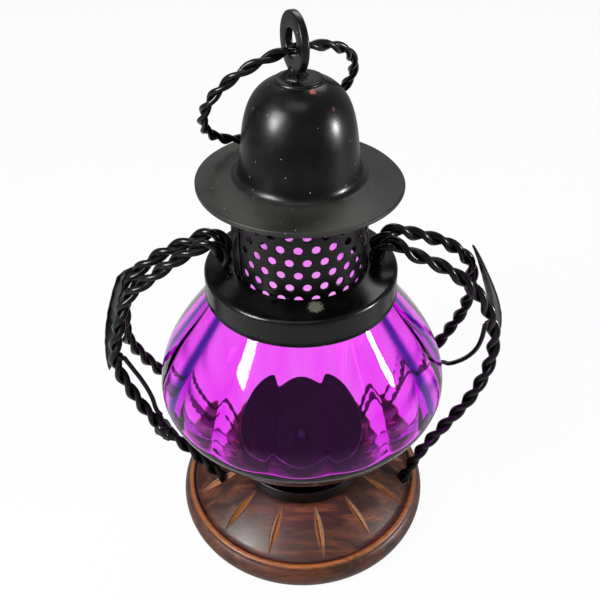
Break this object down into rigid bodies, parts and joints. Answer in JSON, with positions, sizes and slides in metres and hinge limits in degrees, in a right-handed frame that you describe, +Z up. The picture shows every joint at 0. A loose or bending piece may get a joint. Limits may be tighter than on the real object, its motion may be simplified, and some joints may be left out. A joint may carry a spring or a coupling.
{
  "type": "tealight lantern",
  "caption": "Tealight lantern with a lobed glass globe on a turned wooden base, pierced vent drum, domed hood, twisted wire arms and hanging ring.",
  "frame": {"origin": "middle of the wooden base's flat underside, on the table", "axes": "+Z up through the globe and hood, -Y to the front that the picture shows, arms and leaves along +X and -X"},
  "size_m": [0.1893, 0.1316, 0.2517],
  "materials": {
    "wood": "stained and lacquered, worn lighter on the bead",
    "glass": "clear violet blown glass",
    "iron": "satin black paint on pressed iron",
    "enamel": "gloss black paint on pressed iron",
    "wire": "semi-gloss black paint on twisted iron wire",
    "steel": "zinc plated"
  },
  "bodies": {
    "lantern": {"wooden_base": "wood", "glass_seat": "iron", "cup_pillar": "iron", "candle_cup": "iron", "cup_screw": "steel", "glass_globe": "glass", "top_collar": "iron", "arm_left_front": "wire", "arm_left_back": "wire", "arm_right_front": "wire", "arm_right_back": "wire", "leaf_left": "iron", "leaf_right": "iron", "tendril_left": "wire", "tendril_right": "wire"},
    "lid": {"hood": "enamel", "vent_gallery_1": "iron", "vent_gallery_2": "iron", "vent_gallery_3": "iron", "vent_gallery_4": "iron", "vent_gallery_5": "iron", "vent_gallery_6": "iron", "vent_gallery_7": "iron", "vent_gallery_8": "iron", "vent_gallery_9": "iron", "vent_gallery_10": "iron", "hanging_eye": "iron"},
    "ring": {"hanging_ring": "wire"}
  },
  "joints": [
    {"name": "lid_lift", "type": "slide", "parent": "lantern", "child": "lid", "axis": [0, 0, 1], "range_m": [0, 0.06]},
    {"name": "ring_swing", "type": "hinge", "parent": "lid", "child": "ring", "pos_m": [-0.0015, 0, 0.23875], "axis": [0.8904, 0.451, 0.0614], "range_deg": [0, 288]}
  ]
}
